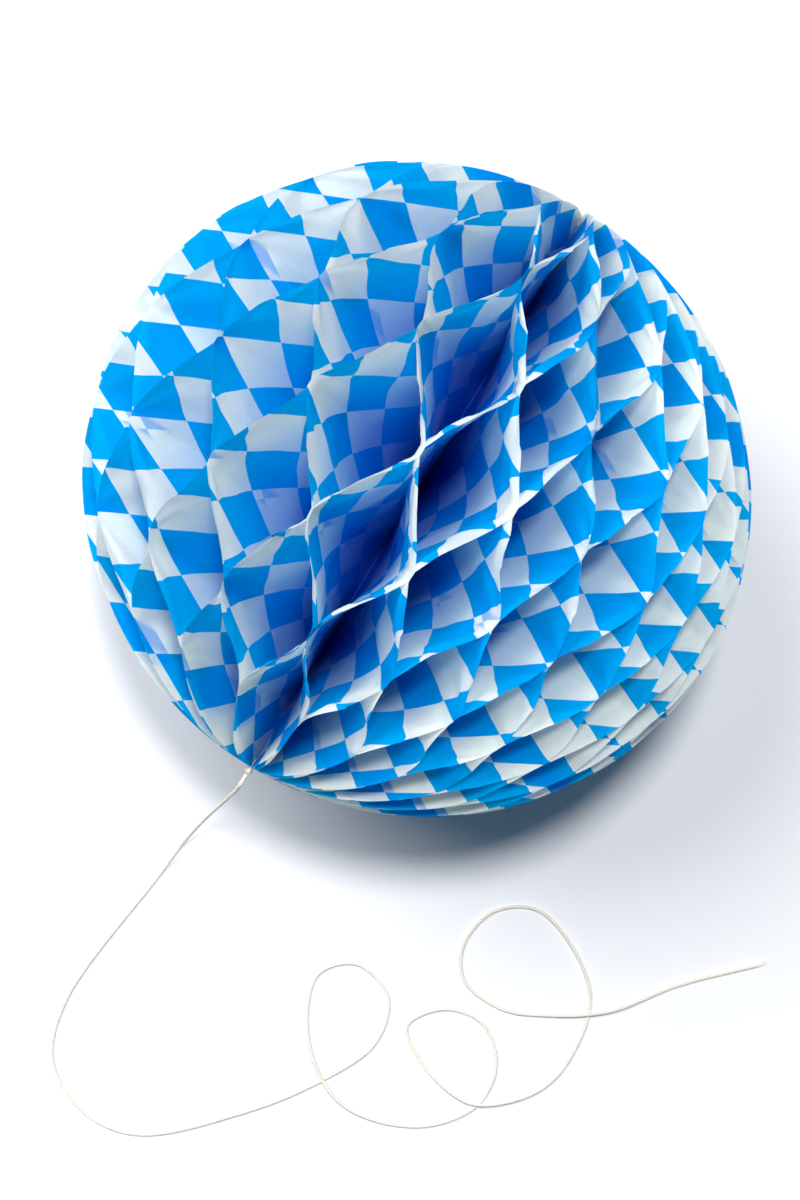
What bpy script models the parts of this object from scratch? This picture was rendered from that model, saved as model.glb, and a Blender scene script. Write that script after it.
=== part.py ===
# Honeycomb tissue ball on its side, with its hanging cord lying loose in front of it.
# Forty half-round leaves are glued in turn to their left and right neighbours and fanned out
# round a stitched spine, so each gap between two leaves opens into a row of lozenge cells.
# Metres, +Z up. The ball rests on a small flat spot at z = 0, with its footprint centred on x = y = 0.

import math

import bmesh
import bpy
from mathutils import Matrix, Vector

# The ball
BALL_RADIUS = 0.150            # across the spine, where the leaves stand widest
POLE_RADIUS = 0.1435           # along the spine, from the middle to an end
FLAT_DEPTH = 0.003             # how far the leaf edges are pressed in where the ball lies
SPINE_HEADING = 59.0           # degrees from +X to the end of the spine without the cord

# The leaves
LEAF_COUNT = 40                # even, so that the glue pattern closes round the ball
LEAF_THICKNESS = 0.0004
GLUE_SPACING = 0.0432          # between neighbouring glue lines
GLUE_WIDTH = 0.0045
GLUE_CENTRE = 0.0018           # the middle glue line, measured from the ball's middle
GLUE_END_MARGIN = 0.006        # from the last glue line's edge to the end of the spine
GLUE_PULL = 0.0120             # how far the cord has drawn the first glue line inwards
GLUE_PULL_FADE = 0.3           # what is left of that pull at each further line
FAN_BIAS = 19.0                # degrees: the fan stands wider open on its left side
FAN_TURN = -1.4                # degrees from straight up to the fan's first glued seam
SEAM_STEP = 27                 # leaf steps round from there to the closed covers

# The core of stitched leaf edges, and what runs through it
CORE_RADIUS = 0.0065
THREAD_RADIUS = 0.0010
KNOT_RADIUS = 0.0017
FIT_GAP = 0.0003               # left between pieces that touch

# The covers
COVER_THICKNESS = 0.0008

# The hanging cord
CORD_RADIUS = 0.0009
CORD_STUB = 0.0050             # the cord leaves the knot straight for this far
CORD_CLEAR = 0.0001            # under the cord, where it lies on the surface
CORD_POINTS = 79               # after the stub

# How finely the curves are stepped
CELL_STEPS = 4                 # along a leaf, between one glue line and the next
END_STEPS = 4                  # from the last glue line to the end of the spine
COVER_STEPS = 40
ROUND_STEPS = 12               # round the thread
KNOT_STEPS = 6                 # from end to end of a knot

# The cord's way over the surface after it leaves the ball, in millimetres
CORD_ROUTE = [
    (-88.8, -139.2, 79.0), (-103.2, -151.4, 38.0), (-117.6, -166.2, 7.5), (-130.1, -182.5, 1.0),
    (-175.4, -243.9, 1.0), (-181.3, -273.3, 1.0), (-165.6, -298.6, 1.0), (-139.1, -309.5, 1.0),
    (-85.6, -298.6, 1.0), (-46.6, -282.7, 1.0), (-20.1, -264.3, 1.0), (-13.6, -241.4, 1.0),
    (-29.2, -225.0, 1.0), (-48.2, -229.5, 1.0), (-54.2, -249.4, 1.6), (-50.6, -273.3, 3.0),
    (-38.6, -292.6, 3.0), (-18.6, -303.0, 1.5), (7.9, -305.0, 1.0), (31.4, -294.6, 1.0),
    (40.5, -274.7, 1.0), (33.5, -254.4, 1.0), (14.4, -247.4, 1.0), (-4.1, -255.8, 1.0),
    (2.9, -273.3, 1.4), (18.4, -289.2, 2.7), (31.4, -294.6, 3.3), (58.9, -289.2, 1.7),
    (75.5, -274.7, 1.0), (87.6, -239.4, 1.0), (63.2, -199.0, 1.0), (40.1, -198.5, 1.0),
    (24.5, -215.0, 1.0), (24.5, -232.9, 1.0), (43.5, -247.4, 1.1), (69.1, -250.4, 2.4),
    (86.1, -249.9, 3.3), (101.1, -247.4, 2.5), (130.7, -235.9, 1.0), (171.9, -225.5, 1.0),
]

# Worked out from the sizes above
CORE_HALF = POLE_RADIUS * math.sqrt(1 - (CORE_RADIUS / BALL_RADIUS) ** 2)
BORE_RADIUS = THREAD_RADIUS + FIT_GAP
COVER_OFFSET = FIT_GAP / 2                                 # from the seam's plane to a cover's face
SEAT_OFFSET = COVER_OFFSET + COVER_THICKNESS + FIT_GAP     # to the leaf that is glued on it
REST_HEIGHT = BALL_RADIUS - FLAT_DEPTH
KNOT_CENTRE = CORE_HALF + FIT_GAP + KNOT_RADIUS
CORD_LIE = CORD_RADIUS + CORD_CLEAR                        # its middle, where it lies


def seam_angle(step):
    """Where the seam that many leaf steps round stands, in radians from straight up."""
    turn = step * 2 * math.pi / LEAF_COUNT
    return math.radians(FAN_TURN) + turn + math.radians(FAN_BIAS) * (math.cos(turn) - 1)


def cover_angle():
    return seam_angle(SEAM_STEP)


def fan_share(leaf):
    """How much of the full turn lies between the covers and the leaf's near side."""
    return (seam_angle(SEAM_STEP + leaf) - cover_angle()) / (2 * math.pi)


def glue_lines():
    """The glue lines as (number, place along the spine); number 0 is the middle one."""
    reach = POLE_RADIUS - GLUE_END_MARGIN - GLUE_WIDTH / 2
    first = math.ceil((-reach - GLUE_CENTRE) / GLUE_SPACING)
    last = math.floor((reach - GLUE_CENTRE) / GLUE_SPACING)
    lines = []
    for number in range(first, last + 1):
        pull = GLUE_PULL * GLUE_PULL_FADE ** (number - first)
        lines.append((number, GLUE_CENTRE + number * GLUE_SPACING + pull))
    return lines


def lean_at(number):
    """Even leaves lean fully right (1) at even glue lines and fully left (-1) at odd ones."""
    return 1 if number % 2 == 0 else -1


def fan_levels():
    """Stations along the spine as (place, lean of the even leaves, glue line that starts there)."""
    lines = glue_lines()
    half = GLUE_WIDTH / 2
    levels = []

    start = math.asin((lines[0][1] - half) / POLE_RADIUS)
    end = -math.asin(CORE_HALF / POLE_RADIUS)
    for step in range(END_STEPS):
        part = step / END_STEPS
        lean = lean_at(lines[0][0]) * math.sin(part * math.pi / 2)
        levels.append((POLE_RADIUS * math.sin(end + (start - end) * part), lean, None))

    for index, (number, place) in enumerate(lines):
        levels.append((place - half, lean_at(number), number))
        levels.append((place + half, lean_at(number), None))
        if index + 1 < len(lines):
            room = lines[index + 1][1] - place - GLUE_WIDTH
            for step in range(1, CELL_STEPS):
                part = step / CELL_STEPS
                levels.append((place + half + room * part, lean_at(number) * math.cos(part * math.pi), None))

    number, place = lines[-1]
    start = math.asin((place + half) / POLE_RADIUS)
    end = math.asin(CORE_HALF / POLE_RADIUS)
    for step in range(1, END_STEPS + 1):
        part = step / END_STEPS
        lean = lean_at(number) * math.cos(part * math.pi / 2)
        levels.append((POLE_RADIUS * math.sin(start + (end - start) * part), lean, None))
    return levels


def glued(leaf, number):
    """Whether a leaf is glued to the next one at this glue line."""
    return number is not None and leaf < LEAF_COUNT - 1 and (leaf - number) % 2 == 0


def ball_distance(place):
    """From the spine to the ball's round outline, at a place along the spine."""
    return BALL_RADIUS * math.sqrt(1 - (place / POLE_RADIUS) ** 2)


def rim_distance(place, angle):
    """From the spine to the leaf's edge, short of the ball's outline where the ball lies flat."""
    distance = ball_distance(place)
    if math.cos(angle) < 0:
        distance = min(distance, REST_HEIGHT / -math.cos(angle))
    return distance


def face_angle(leaf, right, lean, distance):
    """The angle round the spine of one face of a leaf, at a distance from the spine."""
    closed = math.asin(SEAT_OFFSET / distance)
    opened = 2 * math.pi - 2 * closed
    near = cover_angle() + closed + opened * fan_share(leaf)
    far = cover_angle() + closed + opened * fan_share(leaf + 1)
    thickness = LEAF_THICKNESS / distance
    share = (1 + (lean if leaf % 2 == 0 else -lean)) / 2
    angle = near + (far - near - thickness) * share
    return angle + thickness if right else angle


def polar(distance, angle, place):
    return Vector((distance * math.cos(angle), distance * math.sin(angle), place))


class Fan:
    """Builds the leaves as one closed skin, with each vertex made once and shared by name."""

    def __init__(self):
        self.mesh = bmesh.new()
        self.levels = fan_levels()
        self.made = {}

    def joined(self, leaf, level):
        """Whether a leaf's right face meets the next leaf's left face at this level."""
        here = self.levels[level][2]
        before = self.levels[level - 1][2] if level > 0 else None
        return glued(leaf, here) or glued(leaf, before)

    def vertex(self, ring, leaf, right, level):
        if level in (0, len(self.levels) - 1):
            ring = "core"
        if right and self.joined(leaf, level):
            leaf = leaf + 1
            right = False
        name = (ring, leaf, right, level)
        if name not in self.made:
            place, lean, _ = self.levels[level]
            distance = CORE_RADIUS
            if ring == "rim":
                distance = rim_distance(place, face_angle(leaf, right, lean, ball_distance(place)))
            angle = face_angle(leaf, right, lean, distance)
            self.made[name] = self.mesh.verts.new(polar(distance, angle, place))
        return self.made[name]

    def face(self, *corners):
        kept = []
        for corner in corners:
            if corner not in kept:
                kept.append(corner)
        if len(kept) > 2:
            self.mesh.faces.new(kept)

    def wall(self, leaf, right, level):
        core, rim = self.vertex("core", leaf, right, level), self.vertex("rim", leaf, right, level)
        core_on = self.vertex("core", leaf, right, level + 1)
        rim_on = self.vertex("rim", leaf, right, level + 1)
        self.face(core, rim, rim_on)
        self.face(core, rim_on, core_on)

    def leaf(self, leaf, level):
        """One stretch of a leaf: both faces where they are free, and its outer edge."""
        number = self.levels[level][2]
        if not glued(leaf, number):
            self.wall(leaf, True, level)
        if leaf == 0 or not glued(leaf - 1, number):
            self.wall(leaf, False, level)
        self.face(
            self.vertex("rim", leaf, False, level), self.vertex("rim", leaf, True, level),
            self.vertex("rim", leaf, True, level + 1), self.vertex("rim", leaf, False, level + 1),
        )

    def floor(self, leaf, level):
        """The stitched core at the bottom of the cell between a leaf and the next one."""
        if glued(leaf, self.levels[level][2]):
            return
        after = (leaf + 1) % LEAF_COUNT
        self.face(
            self.vertex("core", leaf, True, level), self.vertex("core", after, False, level),
            self.vertex("core", after, False, level + 1), self.vertex("core", leaf, True, level + 1),
        )

    def bore(self):
        """The thread's hole through the core, and the core's two ends round it."""
        rings = []
        for level in (0, len(self.levels) - 1):
            place = self.levels[level][0]
            ring = []
            for leaf in range(LEAF_COUNT):
                left = face_angle(leaf, False, 0.0, CORE_RADIUS)
                right = face_angle(leaf, True, 0.0, CORE_RADIUS)
                ring.append(self.mesh.verts.new(polar(BORE_RADIUS, (left + right) / 2, place)))
            for leaf in range(LEAF_COUNT):
                after = (leaf + 1) % LEAF_COUNT
                near, far = self.vertex("core", leaf, False, level), self.vertex("core", leaf, True, level)
                self.face(near, far, ring[leaf])
                self.face(far, self.vertex("core", after, False, level), ring[after], ring[leaf])
            rings.append(ring)
        for leaf in range(LEAF_COUNT):
            after = (leaf + 1) % LEAF_COUNT
            self.face(rings[0][leaf], rings[0][after], rings[1][after], rings[1][leaf])

    def build(self):
        for leaf in range(LEAF_COUNT):
            for level in range(len(self.levels) - 1):
                self.leaf(leaf, level)
                self.floor(leaf, level)
        self.bore()
        bmesh.ops.recalc_face_normals(self.mesh, faces=self.mesh.faces)
        return self.mesh


def material(name, colour, roughness):
    made = bpy.data.materials.new(name)
    made.use_nodes = True
    shader = made.node_tree.nodes["Principled BSDF"]
    shader.inputs["Base Color"].default_value = (*colour, 1.0)
    shader.inputs["Roughness"].default_value = roughness
    shader.inputs["Metallic"].default_value = 0.0
    return made


def add_object(name, mesh, finish, parent):
    data = bpy.data.meshes.new(name)
    mesh.to_mesh(data)
    mesh.free()
    made = bpy.data.objects.new(name, data)
    bpy.context.scene.collection.objects.link(made)
    data.materials.append(finish)
    made.parent = parent
    return made


def spine_axis():
    """An empty at the ball's middle: its Z runs along the spine and its X points straight up."""
    heading = math.radians(SPINE_HEADING)
    along = Vector((math.cos(heading), math.sin(heading), 0))
    up = Vector((0, 0, 1))
    turn = Matrix((up, along.cross(up), along)).transposed()
    axis = bpy.data.objects.new("spine_axis", None)
    bpy.context.scene.collection.objects.link(axis)
    axis.matrix_world = Matrix.Translation((0, 0, REST_HEIGHT)) @ turn.to_4x4()
    return axis


def centre_footprint(axis, mesh):
    """Moves the axis so that the leaves' footprint is centred on the origin."""
    corners = [axis.matrix_world @ vertex.co for vertex in mesh.verts]
    middle = Vector((0, 0, 0))
    for side in (0, 1):
        middle[side] = (min(corner[side] for corner in corners) + max(corner[side] for corner in corners)) / 2
    axis.matrix_world = Matrix.Translation(-middle) @ axis.matrix_world


def add_honeycomb(axis):
    mesh = Fan().build()
    centre_footprint(axis, mesh)
    return add_object("tissue_honeycomb", mesh, material("tissue", (0.30, 0.58, 0.90), 0.75), axis)


def add_cover(name, side, finish, axis):
    """One half-round card cover; side is 1 or -1, for the face of the seam that it lies on."""
    mesh = bmesh.new()
    inner = CORE_RADIUS + FIT_GAP
    reach = math.acos(inner / BALL_RADIUS)
    outline = []
    for step in range(COVER_STEPS + 1):
        turn = -reach + 2 * reach * step / COVER_STEPS
        outline.append((BALL_RADIUS * math.cos(turn), POLE_RADIUS * math.sin(turn)))
    across = Vector((math.cos(cover_angle()), math.sin(cover_angle()), 0))
    normal = Vector((0, 0, 1)).cross(across) * side
    corners = []
    for distance, place in outline:
        corners.append(mesh.verts.new(across * distance + Vector((0, 0, place)) + normal * COVER_OFFSET))
    face = mesh.faces.new(corners)
    grown = bmesh.ops.extrude_face_region(mesh, geom=[face])
    moved = [item for item in grown["geom"] if isinstance(item, bmesh.types.BMVert)]
    bmesh.ops.translate(mesh, verts=moved, vec=normal * COVER_THICKNESS)
    bmesh.ops.recalc_face_normals(mesh, faces=mesh.faces)
    return add_object(name, mesh, finish, axis)


def thread_profile():
    """The stitching thread with a knot at each end, as (distance from the spine, place along it)."""
    meet = math.asin(THREAD_RADIUS / KNOT_RADIUS)
    profile = []
    for step in range(1, KNOT_STEPS + 1):
        turn = (math.pi - meet) * step / KNOT_STEPS
        profile.append((KNOT_RADIUS * math.sin(turn), -KNOT_CENTRE - KNOT_RADIUS * math.cos(turn)))
    return profile + [(distance, -place) for distance, place in reversed(profile)]


def add_thread(axis):
    mesh = bmesh.new()
    tips = [mesh.verts.new((0, 0, side * (KNOT_CENTRE + KNOT_RADIUS))) for side in (-1, 1)]
    rings = []
    for distance, place in thread_profile():
        turns = [2 * math.pi * step / ROUND_STEPS for step in range(ROUND_STEPS)]
        rings.append([mesh.verts.new(polar(distance, turn, place)) for turn in turns])
    for step in range(ROUND_STEPS):
        after = (step + 1) % ROUND_STEPS
        mesh.faces.new((tips[0], rings[0][step], rings[0][after]))
        for ring, further in zip(rings, rings[1:]):
            mesh.faces.new((ring[step], ring[after], further[after], further[step]))
        mesh.faces.new((rings[-1][step], rings[-1][after], tips[1]))
    bmesh.ops.recalc_face_normals(mesh, faces=mesh.faces)
    return add_object("spine_thread", mesh, material("thread", (0.80, 0.78, 0.72), 0.8), axis)


def smooth_point(before, start, end, after, part):
    """A point between start and end on the smooth curve that passes through all four."""
    t1 = (start - before).length ** 0.5
    t2 = t1 + (end - start).length ** 0.5
    t3 = t2 + (after - end).length ** 0.5
    t = t1 + (t2 - t1) * part
    a1 = before.lerp(start, t / t1)
    a2 = start.lerp(end, (t - t1) / (t2 - t1))
    a3 = end.lerp(after, (t - t2) / (t3 - t2))
    b1 = a1.lerp(a2, t / t2)
    b2 = a2.lerp(a3, (t - t1) / (t3 - t1))
    return b1.lerp(b2, (t - t1) / (t2 - t1))


def smooth_route(route, count):
    """The route from its second point on, read at evenly spaced points of one smooth curve."""
    ends = route + [route[-1] * 2 - route[-2]]
    fine = []
    for index in range(1, len(ends) - 2):
        for step in range(20):
            fine.append(smooth_point(*ends[index - 1:index + 3], step / 20))
    fine.append(route[-1])
    run = [0.0]
    for one, other in zip(fine, fine[1:]):
        run.append(run[-1] + (other - one).length)
    points = []
    index = 0
    for step in range(count):
        wanted = run[-1] * step / (count - 1)
        while index < len(run) - 2 and run[index + 1] < wanted:
            index += 1
        part = (wanted - run[index]) / (run[index + 1] - run[index])
        points.append(fine[index].lerp(fine[index + 1], part))
    for point in points:
        point.z = max(point.z, CORD_LIE)
    return points


def add_cord(axis):
    """The cord, from the knot at the near end of the spine along its route."""
    out = axis.matrix_world.to_3x3() @ Vector((0, 0, -1))
    exit_point = axis.matrix_world.translation + out * (KNOT_CENTRE + KNOT_RADIUS + FIT_GAP)
    stub_end = exit_point + out * CORD_STUB
    route = [exit_point, stub_end] + [Vector(point) * 0.001 for point in CORD_ROUTE]
    curve = bpy.data.curves.new("hanging_cord", "CURVE")
    curve.dimensions = "3D"
    curve.bevel_depth = CORD_RADIUS
    curve.bevel_resolution = 2
    curve.use_fill_caps = True
    points = [exit_point] + smooth_route(route, CORD_POINTS)
    spline = curve.splines.new("POLY")
    spline.points.add(len(points) - 1)
    for place, point in zip(spline.points, points):
        place.co = (*point, 1.0)
    curve.materials.append(material("cotton_cord", (0.86, 0.80, 0.66), 0.85))
    made = bpy.data.objects.new("hanging_cord", curve)
    bpy.context.scene.collection.objects.link(made)
    return made


def main():
    for item in list(bpy.data.objects):
        bpy.data.objects.remove(item, do_unlink=True)
    axis = spine_axis()
    add_honeycomb(axis)
    card = material("card", (0.72, 0.74, 0.78), 0.7)
    add_cover("first_cover", 1, card, axis)
    add_cover("last_cover", -1, card, axis)
    add_thread(axis)
    add_cord(axis)


main()
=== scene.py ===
# Honeycomb ball of printed tissue paper, lying on its side with its cotton cord in loose loops.
# Metres, +Z up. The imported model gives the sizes, and every piece below lies where it says.
import math
import random
import bpy
import numpy as np
from mathutils import Matrix, Vector


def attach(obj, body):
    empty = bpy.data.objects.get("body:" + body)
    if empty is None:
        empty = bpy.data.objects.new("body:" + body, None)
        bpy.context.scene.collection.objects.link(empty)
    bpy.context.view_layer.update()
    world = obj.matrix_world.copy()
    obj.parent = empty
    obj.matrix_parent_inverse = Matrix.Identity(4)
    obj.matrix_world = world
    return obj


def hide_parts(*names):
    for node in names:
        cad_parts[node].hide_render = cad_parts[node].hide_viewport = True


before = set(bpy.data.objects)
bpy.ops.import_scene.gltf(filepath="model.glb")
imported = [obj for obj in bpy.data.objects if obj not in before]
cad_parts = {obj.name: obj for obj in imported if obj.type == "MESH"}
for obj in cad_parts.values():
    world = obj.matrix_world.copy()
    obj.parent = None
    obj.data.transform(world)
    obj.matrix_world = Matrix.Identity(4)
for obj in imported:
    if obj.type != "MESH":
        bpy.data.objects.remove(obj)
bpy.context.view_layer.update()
print("frame loaded:", sorted(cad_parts))


# Shader helpers

class Shade:  # a shader socket that takes part in sums like a number
    def __init__(self, finish, socket):
        self.finish = finish
        self.socket = socket

    def __add__(self, other):
        return self.finish.maths("ADD", self, other)

    def __radd__(self, other):
        return self.finish.maths("ADD", other, self)

    def __sub__(self, other):
        return self.finish.maths("SUBTRACT", self, other)

    def __rsub__(self, other):
        return self.finish.maths("SUBTRACT", other, self)

    def __mul__(self, other):
        return self.finish.maths("MULTIPLY", self, other)

    def __rmul__(self, other):
        return self.finish.maths("MULTIPLY", other, self)

    def __truediv__(self, other):
        return self.finish.maths("DIVIDE", self, other)

    def __rtruediv__(self, other):
        return self.finish.maths("DIVIDE", other, self)

    def __mod__(self, other):
        return self.finish.maths("FLOORED_MODULO", self, other)


class Finish:  # a material or a world, and the nodes that make it
    def __init__(self, owner):
        owner.use_nodes = True
        self.owner = owner
        self.tree = owner.node_tree
        self.tree.nodes.clear()

    def node(self, kind, settings=None, sockets=None, output=0):
        made = self.tree.nodes.new(kind)
        for name, value in (settings or {}).items():
            if name == "stops":
                self.setStops(made.color_ramp, value)
            else:
                setattr(made, name, value)
        for name, value in (sockets or {}).items():
            if isinstance(value, Shade):
                self.tree.links.new(value.socket, made.inputs[name])
            else:
                made.inputs[name].default_value = value
        return Shade(self, made.outputs[output] if made.outputs else None)

    def setStops(self, ramp, stops):
        while len(ramp.elements) < len(stops):
            ramp.elements.new(0.5)
        for element, (place, level) in zip(ramp.elements, stops):
            element.position = place
            element.color = (level, level, level, 1)

    def maths(self, operation, *values):
        return self.node("ShaderNodeMath", {"operation": operation}, dict(enumerate(values)))

    def blend(self, share, first, second):  # first where share is 0, second where it is 1
        return self.node("ShaderNodeMix", {"data_type": "RGBA"}, {0: share, 6: first, 7: second}, 2)

    def mixed(self, share, first, second):  # the same for two shaders
        return self.node("ShaderNodeMixShader", None, {0: share, 1: first, 2: second})

    def ramp(self, value, *stops):
        return self.node("ShaderNodeValToRGB", {"stops": stops}, {0: value})

    def noise(self, where, scale, detail=3.0, roughness=0.5):
        return self.node("ShaderNodeTexNoise", None,
                         {"Vector": where, "Scale": scale, "Detail": detail, "Roughness": roughness})

    def layer(self, name):  # the place on one UV map
        return self.node("ShaderNodeUVMap", {"uv_map": name})

    def apart(self, where):  # the two values of such a place
        split = self.node("ShaderNodeSeparateXYZ", None, {0: where}).socket.node
        return Shade(self, split.outputs[0]), Shade(self, split.outputs[1])

    def seen(self):  # 1 for what the camera sees, straight or in a gloss
        path = self.node("ShaderNodeLightPath").socket.node.outputs
        names = ("Is Camera Ray", "Is Glossy Ray", "Is Transmission Ray")
        camera, gloss, through = [Shade(self, path[name]) for name in names]
        return self.maths("MAXIMUM", self.maths("MAXIMUM", camera, gloss), through)

    def bump(self, height, strength, distance):
        return self.node("ShaderNodeBump", None,
                         {"Height": height, "Strength": strength, "Distance": distance})

    def paper(self, colour, roughness, gloss, normal):
        return self.node("ShaderNodeBsdfPrincipled", None, {
            "Base Color": colour, "Roughness": roughness, "Specular IOR Level": gloss, "Normal": normal})

    def through(self, colour):  # light that comes through thin paper
        return self.node("ShaderNodeBsdfTranslucent", None, {"Color": colour})

    def done(self, surface, end="ShaderNodeOutputMaterial"):
        self.node(end, None, {"Surface": surface})
        return self.owner


def newFinish(name):
    return Finish(bpy.data.materials.new(name))


def paint(*colour):  # an sRGB colour given as 0-255 values, as the shader wants it
    return (*[((c / 255 + 0.055) / 1.055) ** 2.4 if c > 10 else c / 255 / 12.92 for c in colour], 1)


# Camera, floor and light

view = {
    "ballMiddle": (0.0, 0.0, 0.147),
    "distance": 1.125,
    "ray": (0.00675295, 0.08715376, -0.99617198),     # from the camera to the ball's middle
    "tilt": 2.5184,                                   # degrees from straight down
    "nearest": 0.05,
    "lens": 75.45, "frameHeight": 36.0,               # mm
}
studio = {
    "floorColour": paint(250, 250, 252), "floorReach": 4.0, "floorDrop": 0.0002,
    "shadowEnds": (0.5, 0.9),    # from the middle, where the floor turns plain white
    "aim": (0.0, 0.0, 0.1),
    "key": {"place": (0.12, 0.39, 2.6), "size": 0.35, "power": 46.0},
    "side": {"place": (-1.0, 0.85, 2.2), "size": 1.5, "power": 49.0},
    "fillStrength": 0.08, "fillColour": (0.42, 0.73, 1.0, 1.0),
}


def addCamera():
    data = bpy.data.cameras.new("photoCamera")
    data.sensor_fit = "VERTICAL"
    data.sensor_height = view["frameHeight"]
    data.lens = view["lens"]
    data.clip_start = view["nearest"]
    camera = bpy.data.objects.new("photoCamera", data)
    bpy.context.scene.collection.objects.link(camera)
    camera.location = Vector(view["ballMiddle"]) - Vector(view["ray"]) * view["distance"]
    camera.rotation_euler = (math.radians(view["tilt"]), 0, 0)
    bpy.context.scene.camera = camera


def addFloor():
    finish = newFinish("studioFloor")
    matt = finish.node("ShaderNodeBsdfDiffuse", None, {"Color": studio["floorColour"]})
    white = finish.node("ShaderNodeEmission", None, {"Color": (1, 1, 1, 1), "Strength": 1.0})
    where = finish.node("ShaderNodeNewGeometry")
    away = finish.node("ShaderNodeVectorMath", {"operation": "LENGTH"}, {0: where}, 1)
    near, past = studio["shadowEnds"]
    surface = finish.mixed(finish.seen() * finish.ramp(away, (near, 0.0), (past, 1.0)), matt, white)
    reach = studio["floorReach"]
    mesh = bpy.data.meshes.new("studioFloor")
    corners = [(-reach, -reach), (reach, -reach), (reach, reach), (-reach, reach)]
    mesh.from_pydata([(x, y, -studio["floorDrop"]) for x, y in corners], [], [(0, 1, 2, 3)])
    mesh.materials.append(finish.done(surface))
    floor = bpy.data.objects.new("studioFloor", mesh)
    bpy.context.scene.collection.objects.link(floor)


def addLamp(name):
    wanted = studio[name]
    data = bpy.data.lights.new(name + "Lamp", "AREA")
    data.shape = "DISK"
    data.size = wanted["size"]
    data.energy = wanted["power"]
    lamp = bpy.data.objects.new(name + "Lamp", data)
    bpy.context.scene.collection.objects.link(lamp)
    lamp.location = wanted["place"]
    lamp.rotation_euler = (Vector(studio["aim"]) - lamp.location).to_track_quat("-Z", "Y").to_euler()


def addWorld():
    world = bpy.data.worlds.new("studio")
    bpy.context.scene.world = world
    finish = Finish(world)
    soft = finish.node("ShaderNodeBackground", None,
                       {"Strength": studio["fillStrength"], "Color": studio["fillColour"]})
    white = finish.node("ShaderNodeBackground", None, {"Strength": 1.0, "Color": (1, 1, 1, 1)})
    finish.done(finish.mixed(finish.seen(), soft, white), "ShaderNodeOutputWorld")


bpy.context.scene.view_settings.view_transform = "Standard"
addCamera()
addFloor()
addWorld()
addLamp("key")
addLamp("side")
print("camera, floor and light are set")


# The ball's own axis: local x points straight up, local z runs along the spine

ball = {
    "radius": 0.150, "poleRadius": 0.1435, "restHeight": 0.147,
    "heading": 59.0, "fanBias": 19.0, "fanTurn": -1.4,       # degrees
    "leaves": 40, "seamStep": 27, "seatOffset": 0.00125,
    "glueSpacing": 0.0432, "glueCentre": 0.0018, "glueWidth": 0.0045, "gluePull": 0.0120,
    "gluePullFade": 0.3, "endMargin": 0.006,
    "aside": 0.0001,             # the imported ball's middle lies this far off y 0
}


def spineFrame():
    heading = math.radians(ball["heading"])
    along = Vector((math.cos(heading), math.sin(heading), 0))
    up = Vector((0, 0, 1))
    return Matrix((up, along.cross(up), along)).transposed()


spine = np.array(spineFrame())
middle = np.array((0.0, ball["aside"], ball["restHeight"]))


def toWorld(points):
    return points @ spine.T + middle


def seamAngle(step):
    turn = step * 2 * math.pi / ball["leaves"]
    return math.radians(ball["fanTurn"]) + turn + math.radians(ball["fanBias"]) * (math.cos(turn) - 1)


def glueLines():
    reach = ball["poleRadius"] - ball["endMargin"] - ball["glueWidth"] / 2
    first = math.ceil((-reach - ball["glueCentre"]) / ball["glueSpacing"])
    last = math.floor((reach - ball["glueCentre"]) / ball["glueSpacing"])
    lines = []
    for number in range(first, last + 1):
        pull = ball["gluePull"] * ball["gluePullFade"] ** (number - first)
        lines.append((number, ball["glueCentre"] + number * ball["glueSpacing"] + pull))
    return lines


def ballDistance(place):
    return ball["radius"] * np.sqrt(np.maximum(0.0, 1 - (place / ball["poleRadius"]) ** 2))


def smooth(value):
    value = np.clip(value, 0, 1)
    return value * value * (3 - 2 * value)


# Tissue leaves

tissue = {
    "innerRadius": 0.0016,       # where the stitching holds them
    "stretchSteps": 20,          # along a leaf between two glue lines
    "endSteps": 18,
    "rings": 36,                 # from the spine to the band along the edge
    "rimRings": 11, "rimBand": 0.009,
    "apart": 0.00012,            # between two leaves where they are glued
    "straight": 0.9, "straightPower": 2.5,     # how straight the edge runs between glue lines
    "sway": 0.0011, "slip": 0.0012,            # how far a glued spot strays, across and along
    "curlWidth": 0.0055, "curlReach": 0.010,   # the curled lip along the edge
    "spotCurl": (0.1, 0.55), "edgeCurl": 0.10,
    "crease": 0.12, "creaseReach": 0.017, "crumple": 0.00024,
    "rimShare": 0.35,            # the band's most, as a share of the leaf's width there
    "curlShare": 0.6,            # the curl's most, as a share of the band
    "leastCurl": 0.02, "leastCalm": 0.05,
    "poleCalm": 1.25,            # strays and curls fade towards the two poles
    "creases": (5, 9), "creaseFall": 1.5,
    "creaseStart": 0.004, "crumpleStart": 0.012,    # from the glue
    "waves": 7, "waveLength": (0.014, 0.040), "waveMiddle": 0.027,
    "glueEdge": 0.0004,
    "downward": 0.2,             # only leaves that point down at least this much rest on the flat spot
    "strayPower": 1.5,           # how soon a leaf's stray fades towards the spine
    "freedom": 0.38,             # the most a leaf strays, as a share of its half of the gap
    # leaves whose whole edge is turned over, and glued spots (seam, glue line) that are bent more
    "lips": {11: -0.35, 12: 0.65, 13: 0.95, 14: 0.75, 15: -0.45},
    "bent": {(15, 3): 1.25, (13, 3): 0.9, (14, 2): 1.1, (17, 3): -0.6, (16, 2): 1.1, (14, 4): 0.8,
             (18, 2): -1.0, (19, 3): 1.0, (12, 2): 0.7, (11, 3): -0.6, (16, 4): -0.9, (18, 4): 0.9},
    "seed": 7,
    "bakeMargins": (1.01, 1.02),               # out and along, round the picture laid out on the OFBake map
}
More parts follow.
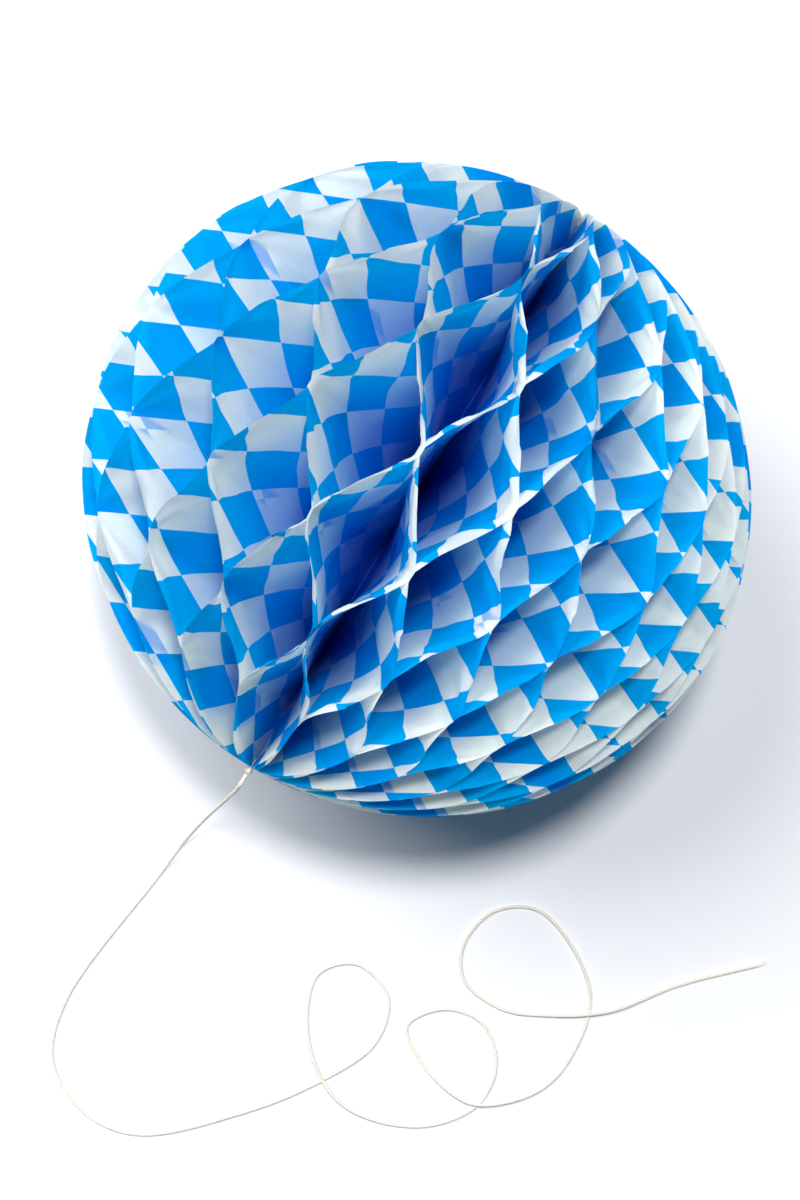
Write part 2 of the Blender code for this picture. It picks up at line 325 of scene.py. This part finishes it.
prints = {
    "halfOut": 0.0240, "halfAlong": 0.0114,    # half diagonals of one lozenge
    "along": 0.0042, "drift": 0.0095, "start": 0.0385,
    # millimetres by which the print of a folded pair of leaves lies off that even drift
    "strays": {3: 0.0, 4: 2.3, 5: 3.1, 6: 3.6, 7: 2.1, 8: 2.6, 9: 1.4, 10: 0.9, 11: 0.0},
}
fullTurn = 6.3               # radians, for the random starts of waves and folds
cover = seamAngle(ball["seamStep"])
lines = glueLines()
linePlaces = np.array([place for number, place in lines])


def junctionAngle(junction, distance):
    closed = np.arcsin(np.minimum(1.0, ball["seatOffset"] / distance))
    share = (seamAngle(ball["seamStep"] + junction) - cover) / (2 * math.pi)
    return cover + closed + (2 * math.pi - 2 * closed) * share


def gluedAfter(leaf, line):  # whether this glue line joins the leaf to the next one, not the one before
    return (leaf - lines[line][0]) % 2 == 0


def stations():
    # Places along the spine as (place, glue line before it, share of the way to the next)
    half = ball["glueWidth"] / 2
    start = math.asin((lines[0][1] - half) / ball["poleRadius"])
    end = math.asin(math.sqrt(1 - (tissue["innerRadius"] / ball["radius"]) ** 2))
    rows = []
    for step in range(tissue["endSteps"]):
        part = step / tissue["endSteps"]
        rows.append((ball["poleRadius"] * math.sin(-end + (start + end) * part), -1, part))
    for index, (number, place) in enumerate(lines):
        rows += [(place + half * part, index, 0.0) for part in (-1, -0.5, 0, 0.5, 1)]
        if index + 1 < len(lines):
            room = lines[index + 1][1] - place - ball["glueWidth"]
            for step in range(1, tissue["stretchSteps"]):
                part = step / tissue["stretchSteps"]
                rows.append((place + half + room * part, index, part))
    start = math.asin((lines[-1][1] + half) / ball["poleRadius"])
    for step in range(1, tissue["endSteps"] + 1):
        part = step / tissue["endSteps"]
        rows.append((ball["poleRadius"] * math.sin(start + (end - start) * part), len(lines) - 1, part))
    return rows


def strayTable():
    # For each glued spot, how far it strays across and along, and how far its edge curls over
    dice = random.Random(tissue["seed"])
    spots = {}
    for junction in range(ball["leaves"] + 1):
        for line in range(len(lines)):
            low, high = tissue["spotCurl"]
            curl = dice.uniform(low, high) * dice.choice((-1, 1, 1))
            across = dice.uniform(-1, 1) * tissue["sway"]
            along = dice.uniform(-1, 1) * tissue["slip"]
            curl = tissue["bent"].get((junction, line), curl)
            if junction in (0, ball["leaves"]):      # the spots on the covers stay put
                across = along = curl = 0.0
            spots[junction, line] = (across, along, curl)
    return spots


spots = strayTable()


def leafShape(leaf, rows):
    # Points [row, ring, xyz] in world space, and for each its place on the leaf's own print, its place
    # on the print of the leaf behind, and how much it is glued with how near the edge it lies
    dice = random.Random(tissue["seed"] * 1000 + leaf)
    place = np.array([row[0] for row in rows])[:, None]
    count = len(rows)
    outer = np.maximum(ballDistance(place), tissue["innerRadius"])
    straight, curved = np.zeros((count, 1)), np.zeros((count, 1))
    stray = np.zeros((count, 3))
    edge, behind = np.zeros((count, 1)), np.zeros((count, 1))
    sides = [1 if gluedAfter(leaf, line) else -1 for line in range(len(lines))]
    held = [np.array(spots[leaf + (1 if side > 0 else 0), line]) for line, side in enumerate(sides)]
    lip = tissue["lips"].get(leaf, 0.0)
    edges = [lip + dice.uniform(-1, 1) * tissue["edgeCurl"] for line in range(len(lines) + 1)]
    for index, (spot, line, part) in enumerate(rows):
        if line < 0:
            straight[index] = sides[0] * part
            curved[index] = sides[0] * math.sin(part * math.pi / 2)
            stray[index] = held[0] * math.sin(part * math.pi / 2) ** 2
        elif line == len(lines) - 1:
            straight[index] = sides[line] * (1 - part)
            curved[index] = sides[line] * math.cos(part * math.pi / 2)
            stray[index] = held[line] * math.cos(part * math.pi / 2) ** 2
        else:
            turn = (1 - math.cos(part * math.pi)) / 2
            straight[index] = sides[line] + (sides[line + 1] - sides[line]) * part
            curved[index] = sides[line] + (sides[line + 1] - sides[line]) * turn
            stray[index] = held[line] + (held[line + 1] - held[line]) * turn
        nearest = int(np.argmin(abs(linePlaces - spot)))
        off = max(0.0, abs(linePlaces[nearest] - spot) - ball["glueWidth"] / 2)
        closeness = math.exp(-(off / tissue["curlReach"]) ** 2)
        edge[index] = edges[line + 1] * (1 - closeness) + held[nearest][2] * closeness
        behind[index] = leaf + sides[nearest]
    inner = np.linspace(0, 1, tissue["rings"] + 1)[None, :]
    rim = np.linspace(0, 1, tissue["rimRings"] + 1)[None, 1:]
    band = np.minimum(tissue["rimBand"], tissue["rimShare"] * (outer - tissue["innerRadius"]))
    toBand = outer - band
    distance = np.concatenate([tissue["innerRadius"] + (toBand - tissue["innerRadius"]) * inner,
                               toBand + band * rim], axis=1)
    flatDistance = distance.copy()
    # the lip along the edge rolls over as an arc
    width = np.minimum(tissue["curlWidth"], tissue["curlShare"] * band)
    past = np.maximum(0.0, distance - (outer - width))
    calm = smooth(outer / ball["radius"] * tissue["poleCalm"]) ** 2
    least = tissue["leastCurl"]
    curl = np.where(abs(edge) < least, least, edge) * np.maximum(calm, tissue["leastCalm"])
    across = width / curl * (1 - np.cos(curl * past / width))
    distance = np.where(past > 0, outer - width + width / curl * np.sin(curl * past / width), distance)
    # the folds that run from a glued spot, and the sheet's own unevenness
    room = np.abs(place - linePlaces[None, :])
    nearest = np.argmin(room, axis=1)
    off = np.maximum(0.0, room.min(axis=1)[:, None] - ball["glueWidth"] / 2)
    inward = outer - flatDistance
    reach = np.hypot(off, inward)
    around = np.arctan2(off, inward + 1e-6)
    folds = np.array([dice.uniform(*tissue["creases"]) for line in range(2 * len(lines))])
    starts = np.array([dice.uniform(0, fullTurn) for line in range(2 * len(lines))])
    which = nearest * 2 + (place[:, 0] > linePlaces[nearest])
    fold = np.abs(((around * folds[which][:, None] + starts[which][:, None]) / math.pi) % 2 - 1) * 2 - 1
    free = smooth(off / tissue["creaseStart"])
    fade = np.exp(-(reach / tissue["creaseReach"]) ** tissue["creaseFall"])
    fold = fold * tissue["crease"] * reach * fade * free
    rough = np.zeros_like(flatDistance)
    for wave in range(tissue["waves"]):
        length = dice.uniform(*tissue["waveLength"])
        turn = dice.uniform(0, math.pi)
        rough += np.sin((flatDistance * math.cos(turn) + place * math.sin(turn)) * 2 * math.pi / length
                        + dice.uniform(0, fullTurn)) * tissue["crumple"] * length / tissue["waveMiddle"]
    share = flatDistance / ball["radius"]
    rough *= smooth(off / tissue["crumpleStart"]) * smooth(share * 3)
    near = junctionAngle(leaf, flatDistance) + tissue["apart"] / 2 / flatDistance
    far = junctionAngle(leaf + 1, flatDistance) - tissue["apart"] / 2 / flatDistance
    steady = tissue["straight"] * share ** tissue["straightPower"]
    lean = curved * (1 - steady) + straight * steady
    angle = near + (far - near) * (1 + lean) / 2
    # a leaf stays between its two neighbours
    gap = (far - near) * flatDistance * tissue["freedom"]
    own = np.clip((fold + rough) * calm, -gap * (1 + lean), gap * (1 - lean))
    fade = share ** tissue["strayPower"]
    angle = angle + (stray[:, 0:1] * fade * calm + across + own) / flatDistance
    along = place + stray[:, 1:2] * fade * calm
    # the lowest leaves are flat where they stand
    least, down = tissue["downward"], -np.cos(angle)
    floorLimit = np.where(down > least, ball["restHeight"] / np.maximum(least, down), 1.0)
    distance = np.minimum(distance, floorLimit)
    points = np.stack([distance * np.cos(angle), distance * np.sin(angle), along], axis=-1)
    flat = np.stack([flatDistance - printStart(leaf), np.broadcast_to(place, flatDistance.shape)], axis=-1)
    other = np.stack([flatDistance - printStart(behind), flat[..., 1]], axis=-1)
    onGlue = np.broadcast_to(1.0 - smooth(off / tissue["glueEdge"]), flatDistance.shape)
    glue = np.stack([onGlue, 1 - inward / ball["radius"]], axis=-1)
    return toWorld(points), flat, other, glue


def printStart(leaf):
    # How far out the print of a leaf starts; two leaves are folded from one strip and share it
    pair = np.floor(np.asarray(leaf) / 2).astype(int) % (ball["leaves"] // 2)
    strays = np.vectorize(lambda number: prints["strays"].get(int(number), 0.0))(pair) / 1000
    return prints["start"] + prints["drift"] * (pair - 3) + strays


def lozenges(finish, outward, along):  # 0 on the white ones, 1 on the blue
    rise = (along - prints["along"]) / (2 * prints["halfAlong"])
    run = outward / (2 * prints["halfOut"])
    return (finish.maths("FLOOR", run + rise) + finish.maths("FLOOR", run - rise)) % 2.0


sheetLook = {
    "white": (paint(234, 238, 234), paint(251, 251, 246)), "blue": (paint(0, 152, 228), paint(0, 171, 241)),
    # painted shade: the ink turns a darker blue towards the spine
    "paintedShadeInk": paint(0, 90, 226), "paintedShadeInkStops": ((0.15, 1.0), (0.75, 0.0)),
    # painted shade in the folds: how far the white ones are turned blue, from the spine side at 0 to the
    # edge at 1
    "paintedShadeStops": ((0.2, 0.96), (0.5, 0.74), (0.73, 0.34), (0.92, 0.0)),
    "throughGlue": 0.5,                       # of the next leaf's print
    "whiteLight": paint(226, 238, 234), "whiteShare": 0.44,      # light that comes through the paper
    "blueLight": paint(0, 186, 240), "blueShare": 0.42,
    "dabScale": 34.0, "dabStops": ((0.56, 0.0), (0.66, 1.0)),    # damp dabs along the glue
    "dabOnWhite": (0.25, paint(120, 178, 190)), "dabOnBlue": (0.5, paint(0, 140, 176)),
    "pulp": (380.0, 2.0, 0.6), "grain": (190.0, 2.0, 0.6), "grainBump": (0.4, 0.0006),
    "whiteGloss": (0.8, 0.05), "blueGloss": (0.7, 0.01),         # roughness and gloss
}


def tissueFinish():
    look = sheetLook
    finish = newFinish("printedTissue")
    where = finish.layer("sheet")
    blue = lozenges(finish, *finish.apart(where))
    other = lozenges(finish, *finish.apart(finish.layer("behind")))
    glue, shallow = finish.apart(finish.layer("glue"))
    pulp = finish.noise(where, *look["pulp"])
    dab = finish.ramp(finish.noise(where, look["dabScale"], 1.0), *look["dabStops"]) * glue
    white = finish.blend(pulp, *look["white"])
    # the next leaf's print shows through the glue, and the white is painted blue as shade towards the spine
    paintedShadeShare = finish.ramp(shallow, *look["paintedShadeStops"])
    whiteLeft = (1 - blue) * (1 - paintedShadeShare) * (1 - glue * other * look["throughGlue"])
    share, colour = look["dabOnWhite"]
    white = finish.blend(dab * share, white, colour)
    share, colour = look["dabOnBlue"]
    ink = finish.blend(dab * share, finish.blend(pulp, *look["blue"]), colour)
    # painted shade: the ink darkens towards the spine
    ink = finish.blend(finish.ramp(shallow, *look["paintedShadeInkStops"]), ink, look["paintedShadeInk"])
    normal = finish.bump(finish.noise(where, *look["grain"]), *look["grainBump"])
    whiteSheet = finish.mixed(look["whiteShare"], finish.paper(white, *look["whiteGloss"], normal),
                              finish.through(look["whiteLight"]))
    blueSheet = finish.mixed(look["blueShare"], finish.paper(ink, *look["blueGloss"], normal),
                             finish.through(look["blueLight"]))
    return finish.done(finish.mixed(1 - whiteLeft, whiteSheet, blueSheet))


def addSheetPiece(name, grids, finish):
    # One mesh from several grids of points, each with its own flat layout
    points, faces = [], []
    layouts = {"sheet": [], "behind": [], "glue": [], "OFBake": []}
    for shape, flat, other, glue, bake in grids:
        rows, wide = shape.shape[:2]
        first = len(points)
        points += shape.reshape(-1, 3).tolist()
        for row in range(rows - 1):
            start = first + row * wide
            faces += [(start + ring, start + ring + 1, start + ring + 1 + wide, start + ring + wide)
                      for ring in range(wide - 1)]
        for layer, values in zip(layouts, (flat, other, glue, bake)):
            layouts[layer].append(values.reshape(-1, 2))
    mesh = bpy.data.meshes.new(name)
    mesh.from_pydata(points, [], faces)
    corners = np.zeros(len(mesh.loops), dtype=np.int32)
    mesh.loops.foreach_get("vertex_index", corners)
    for layer, values in layouts.items():
        made = mesh.uv_layers.new(name=layer)
        made.data.foreach_set("uv", np.concatenate(values)[corners].astype(np.float32).ravel())
    mesh.polygons.foreach_set("use_smooth", [True] * len(mesh.polygons))
    mesh.materials.append(finish)
    piece = bpy.data.objects.new(name, mesh)
    bpy.context.scene.collection.objects.link(piece)
    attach(piece, "root")
    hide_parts("tissue_honeycomb")
    return piece


def bakeLayout(leaf, flat, rows):
    # The two leaves of a pair lie back to back on the OFBake map
    place = np.array([row[0] for row in rows])[:, None]
    room = 2 * ball["radius"]
    outMargin, alongMargin = tissue["bakeMargins"]
    out = (flat[..., 0] + printStart(leaf)) / (room * outMargin)
    up = np.broadcast_to(0.5 + place / (room * alongMargin), out.shape)
    return np.stack([out if leaf % 2 == 0 else 1 - out, up], axis=-1)


def addLeaves():
    rows = stations()
    finish = tissueFinish()
    for pair in range(ball["leaves"] // 2):
        grids = []
        for leaf in (2 * pair, 2 * pair + 1):
            shape, flat, other, glue = leafShape(leaf, rows)
            shape[..., 2] = np.maximum(shape[..., 2], 0.0)
            grids.append((shape, flat, other, glue, bakeLayout(leaf, flat, rows)))
        addSheetPiece(f"tissuePair{pair + 1:02d}", grids, finish)
    print("tissue leaves:", ball["leaves"], "each of", len(rows), "rows")
    return finish


sleeve = {
    "radius": 0.0021, "ripple": 0.0003, "around": 60, "steps": 80, "reach": 0.139,
    "out": 0.012, "wave": 0.004,     # the part of the print that it carries
}


def addSleeve(finish):
    # The stitched inner folds close round the thread
    turns = np.linspace(0, 2 * math.pi, sleeve["around"] + 1)[None, :]
    place = np.linspace(-sleeve["reach"], sleeve["reach"], sleeve["steps"] + 1)[:, None]
    radius = sleeve["radius"] + sleeve["ripple"] * np.cos(turns * ball["leaves"] / 2) + 0 * place
    shape = toWorld(np.stack([radius * np.cos(turns), radius * np.sin(turns), place + 0 * turns], axis=-1))
    out = sleeve["out"] + sleeve["wave"] * np.sin(turns) + 0 * place
    flat = np.stack([out, place + 0 * turns], axis=-1)
    up = 0.5 + place / (2 * ball["radius"])
    bake = np.stack([turns / (2 * math.pi) + 0 * place, up + 0 * turns], axis=-1)
    # a glue layout of zeros puts the whole sleeve at the spine, where the painted shade is strongest
    addSheetPiece("stitchedFold", [(shape, flat, flat, np.zeros_like(flat), bake)], finish)


printedTissue = addLeaves()
addSleeve(printedTissue)


# Hanging cord

cord = {
    "exit": (-0.0759, -0.1263, 0.1470), "radius": 0.0009, "stub": 0.0050, "length": 1.18, "lie": 0.0010,
    "plies": 3, "layLength": 0.0062, "step": 0.0007, "round": 18, "groove": 0.20,
    "plyEnd": 0.0050, "plySpread": 0.28, "plyShare": 0.5, "fibres": 9, "fibreLength": 0.0060,
    "fibreRadius": 0.00007, "fibreSpread": 0.9, "fibreRise": (-0.05, 0.12), "fibreBend": 0.5,
    "fibreShares": (0.5, 1.0), "hairSteps": 8, "hairSides": 8, "hairTaper": 0.75, "hairStart": -0.0006,
    "hairLie": 0.0006, "hairClear": 0.0001, "hairCrest": 0.8, "seed": 3,
    "smoothSteps": 60, "stubSteps": 8, "lobePower": 0.7, "layScale": (0.6, 0.12),
    "cotton": (paint(248, 241, 222), paint(255, 253, 245)), "cottonGloss": (0.85, 0.15),
    "fibreNoise": (1.0, 4.0), "fibreBump": (0.5, 0.0002),
    "grooveShade": (0.75, paint(170, 140, 96)), "grooveStops": ((0.0, 1.0), (0.42, 0.0)),
    "route": [   # millimetres, after the straight stub
        (-88.8, -139.2, 79.0), (-103.2, -151.4, 38.0), (-117.6, -166.2, 7.5), (-130.1, -182.5, 1.0),
        (-175.4, -243.9, 1.0), (-181.3, -273.3, 1.0), (-165.6, -298.6, 1.0), (-139.1, -309.5, 1.0),
        (-85.6, -298.6, 1.0), (-46.6, -282.7, 1.0), (-20.1, -264.3, 1.0), (-13.6, -241.4, 1.0),
        (-29.2, -225.0, 1.0), (-48.2, -229.5, 1.0), (-54.2, -249.4, 1.6), (-50.6, -273.3, 3.0),
        (-38.6, -292.6, 3.0), (-18.6, -303.0, 1.5), (7.9, -305.0, 1.0), (31.4, -294.6, 1.0),
        (40.5, -274.7, 1.0), (33.5, -254.4, 1.0), (14.4, -247.4, 1.0), (-4.1, -255.8, 1.0),
        (2.9, -273.3, 1.4), (18.4, -289.2, 2.7), (31.4, -294.6, 3.3), (58.9, -289.2, 1.7),
        (75.5, -274.7, 1.0), (87.6, -239.4, 1.0), (63.2, -199.0, 1.0), (40.1, -198.5, 1.0),
        (24.5, -215.0, 1.0), (24.5, -232.9, 1.0), (43.5, -247.4, 1.1), (69.1, -250.4, 2.4),
        (86.1, -249.9, 3.3), (101.1, -247.4, 2.5), (130.7, -235.9, 1.0), (171.9, -225.5, 1.0),
    ],
}


def smoothPoint(before, start, end, after, part):
    t1 = (start - before).length ** 0.5
    t2 = t1 + (end - start).length ** 0.5
    t3 = t2 + (after - end).length ** 0.5
    t = t1 + (t2 - t1) * part
    a1 = before.lerp(start, t / t1)
    a2 = start.lerp(end, (t - t1) / (t2 - t1))
    a3 = end.lerp(after, (t - t2) / (t3 - t2))
    b1 = a1.lerp(a2, t / t2)
    b2 = a2.lerp(a3, (t - t1) / (t3 - t1))
    return b1.lerp(b2, (t - t1) / (t2 - t1))


def cordPath():
    start = Vector(cord["exit"])
    out = -Vector(spine[:, 2])
    route = [start, start + out * cord["stub"]] + [Vector(p) * 0.001 for p in cord["route"]]
    ends = route + [route[-1] * 2 - route[-2]]
    steps = cord["stubSteps"]
    fine = [start.lerp(route[1], step / steps) for step in range(steps)]
    steps = cord["smoothSteps"]
    for index in range(1, len(ends) - 2):
        fine += [smoothPoint(*ends[index - 1:index + 3], step / steps) for step in range(steps)]
    fine.append(route[-1])
    for point in fine:
        point.z = max(point.z, cord["lie"])
    run = [0.0]
    for one, other in zip(fine, fine[1:]):
        run.append(run[-1] + (other - one).length)
    count = int(run[-1] / cord["step"])
    points = []
    index = 0
    for step in range(count + 1):
        wanted = run[-1] * step / count
        while index < len(run) - 2 and run[index + 1] < wanted:
            index += 1
        part = (wanted - run[index]) / (run[index + 1] - run[index])
        points.append(fine[index].lerp(fine[index + 1], part))
    return points, run[-1]


def cordFinish():
    finish = newFinish("cottonCord")
    crest = finish.apart(finish.layer("ply"))[0]
    fibres = finish.noise(finish.layer("lay"), *cord["fibreNoise"])
    share, shade = cord["grooveShade"]
    colour = finish.blend(finish.ramp(crest, *cord["grooveStops"]) * share,
                          finish.blend(fibres, *cord["cotton"]), shade)
    return finish.done(finish.paper(colour, *cord["cottonGloss"], finish.bump(fibres, *cord["fibreBump"])))


def tube(points, reachOf, sides, twistOf, verts, faces, marks, lay):
    # A closed tube along the points, with a radius for each place and corner
    first = len(verts)
    side = (points[1] - points[0]).orthogonal().normalized()
    for index, point in enumerate(points):
        ahead = (points[min(index + 1, len(points) - 1)] - points[max(index - 1, 0)]).normalized()
        side = (side - ahead * side.dot(ahead)).normalized()
        other = ahead.cross(side)
        for corner in range(sides):
            turn = 2 * math.pi * corner / sides
            reach, crest = reachOf(index, turn)
            turn += twistOf(index)
            verts.append(point + (side * math.cos(turn) + other * math.sin(turn)) * reach)
            marks.append((crest, 0.0))
            lay.append((corner * cord["layScale"][0], index * cord["layScale"][1]))
    for index in range(len(points) - 1):
        for corner in range(sides):
            a, b = first + index * sides + corner, first + index * sides + (corner + 1) % sides
            faces.append((a, b, b + sides, a + sides))
    faces.append(tuple(reversed(range(first, first + sides))))
    faces.append(tuple(range(len(verts) - sides, len(verts))))


def tubePiece(name, made, finish):
    verts, faces, marks, lay = made
    mesh = bpy.data.meshes.new(name)
    mesh.from_pydata(verts, [], faces)
    for layerName, values in (("lay", lay), ("ply", marks)):
        layer = mesh.uv_layers.new(name=layerName)
        for loop in mesh.loops:
            layer.data[loop.index].uv = values[loop.vertex_index]
    mesh.polygons.foreach_set("use_smooth", [True] * len(mesh.polygons))
    mesh.materials.append(finish)
    piece = bpy.data.objects.new(name, mesh)
    bpy.context.scene.collection.objects.link(piece)
    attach(piece, "root")
    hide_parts("hanging_cord")
    return piece


def frayedEnd(points):
    # The plies and some fibres come apart at the cut end
    dice = random.Random(cord["seed"])
    made = ([], [], [], [])
    tip, ahead = points[-1], (points[-1] - points[-4]).normalized()
    across = ahead.cross(Vector((0, 0, 1)))
    spread = cord["fibreSpread"]
    for ply in range(cord["plies"] + cord["fibres"]):
        thick = ply < cord["plies"]
        reach = cord["plyEnd"] if thick else cord["fibreLength"] * dice.uniform(*cord["fibreShares"])
        radius = cord["radius"] * cord["plyShare"] if thick else cord["fibreRadius"]
        lean = (ply - 1) * cord["plySpread"] if thick else dice.uniform(-spread, spread)
        rise = dice.uniform(*cord["fibreRise"])
        bend = dice.uniform(-cord["fibreBend"], cord["fibreBend"])
        hair = []
        for step in range(cord["hairSteps"] + 1):
            part = step / cord["hairSteps"]
            spot = tip + ahead * (reach * part + cord["hairStart"])
            spot += across * reach * part * (lean + bend * part)
            spot.z = max(cord["hairLie"] + rise * reach * part, radius + cord["hairClear"])
            hair.append(spot)

        def hairReach(index, turn):
            return radius * (1 - cord["hairTaper"] * index / cord["hairSteps"]), cord["hairCrest"]

        tube(hair, hairReach, cord["hairSides"], lambda index: 0.0, *made)
    return made


def addCord():
    points, length = cordPath()

    def strand(index, turn):
        lobe = abs(math.cos(turn * cord["plies"] / 2))
        return cord["radius"] * (1 - cord["groove"] + cord["groove"] * lobe ** cord["lobePower"]), lobe

    def strandTurn(index):
        return 2 * math.pi * index * cord["step"] / cord["layLength"]

    made = ([], [], [], [])
    tube(points, strand, cord["round"], strandTurn, *made)
    finish = cordFinish()
    piece = tubePiece("hangingCord", made, finish)
    fray = tubePiece("cordFray", frayedEnd(points), finish)
    cord["radius"] * 2
    print("hanging cord:", round(length, 3), "m")


addCord()


# Covers and stitching thread

grainLook = {"detail": 4.0, "gloss": 0.2, "bump": (0.35, 0.0002)}


def grainFinish(name, scale, dark, pale, roughness):
    finish = newFinish(name)
    where = finish.node("ShaderNodeTexCoord", None, None, 3)
    grain = finish.noise(where, scale, grainLook["detail"])
    return finish.done(finish.paper(finish.blend(grain, dark, pale), roughness, grainLook["gloss"],
                                    finish.bump(grain, *grainLook["bump"])))


card = grainFinish("greyCard", 900.0, paint(190, 192, 196), paint(226, 227, 229), 0.8)
thread = grainFinish("cottonThread", 2500.0, paint(214, 206, 186), paint(242, 238, 226), 0.85)
for name, finish in (("first_cover", card), ("last_cover", card), ("spine_thread", thread)):
    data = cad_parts[name].data
    data.materials.clear()
    data.materials.append(finish)
print("covers and thread are finished")
